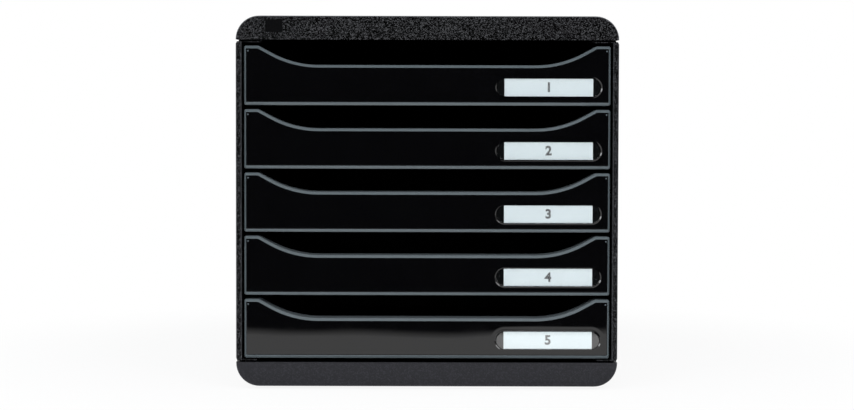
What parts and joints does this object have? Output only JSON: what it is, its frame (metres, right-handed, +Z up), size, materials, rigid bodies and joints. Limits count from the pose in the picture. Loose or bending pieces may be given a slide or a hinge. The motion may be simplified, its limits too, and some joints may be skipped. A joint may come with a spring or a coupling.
{
  "type": "desktop drawer unit",
  "caption": "Desktop letter drawer unit: round-cornered case with sliding gloss-fronted trays, finger scoops and clear label windows.",
  "frame": {"origin": "under the middle of the case, on the plane that the feet stand on", "axes": "+Z up, the drawer fronts face -Y, +X to the right of someone facing them"},
  "size_m": [0.278, 0.347, 0.2717],
  "materials": {
    "case_plastic": "fine grain, charcoal",
    "tray_plastic": "satin, charcoal, with a lighter polished bevel round the front",
    "gloss_plastic": "mirror-gloss black",
    "clear_plastic": "clear, polished",
    "label_card": "smooth white card with a plain printed number",
    "foot_rubber": "matt black"
  },
  "bodies": {
    "case": {"top_cap": "case_plastic", "base": "case_plastic", "right_side": "case_plastic", "left_side": "case_plastic", "back_panel": "case_plastic", "foot_front_left": "foot_rubber", "foot_front_right": "foot_rubber", "foot_rear_left": "foot_rubber", "foot_rear_right": "foot_rubber"},
    "drawer_1": {"drawer_1_tray": "tray_plastic", "drawer_1_plate": "gloss_plastic", "drawer_1_window": "clear_plastic", "drawer_1_card": "label_card"},
    "drawer_2": {"drawer_2_tray": "tray_plastic", "drawer_2_plate": "gloss_plastic", "drawer_2_window": "clear_plastic", "drawer_2_card": "label_card"},
    "drawer_3": {"drawer_3_tray": "tray_plastic", "drawer_3_plate": "gloss_plastic", "drawer_3_window": "clear_plastic", "drawer_3_card": "label_card"},
    "drawer_4": {"drawer_4_tray": "tray_plastic", "drawer_4_plate": "gloss_plastic", "drawer_4_window": "clear_plastic", "drawer_4_card": "label_card"},
    "drawer_5": {"drawer_5_tray": "tray_plastic", "drawer_5_plate": "gloss_plastic", "drawer_5_window": "clear_plastic", "drawer_5_card": "label_card"}
  },
  "joints": [
    {"name": "drawer_1_slide", "type": "slide", "parent": "case", "child": "drawer_1", "axis": [0, -1, 0], "range_m": [0, 0.24]},
    {"name": "drawer_2_slide", "type": "slide", "parent": "case", "child": "drawer_2", "axis": [0, -1, 0], "range_m": [0, 0.24]},
    {"name": "drawer_3_slide", "type": "slide", "parent": "case", "child": "drawer_3", "axis": [0, -1, 0], "range_m": [0, 0.24]},
    {"name": "drawer_4_slide", "type": "slide", "parent": "case", "child": "drawer_4", "axis": [0, -1, 0], "range_m": [0, 0.24]},
    {"name": "drawer_5_slide", "type": "slide", "parent": "case", "child": "drawer_5", "axis": [0, -1, 0], "range_m": [0, 0.24]}
  ]
}
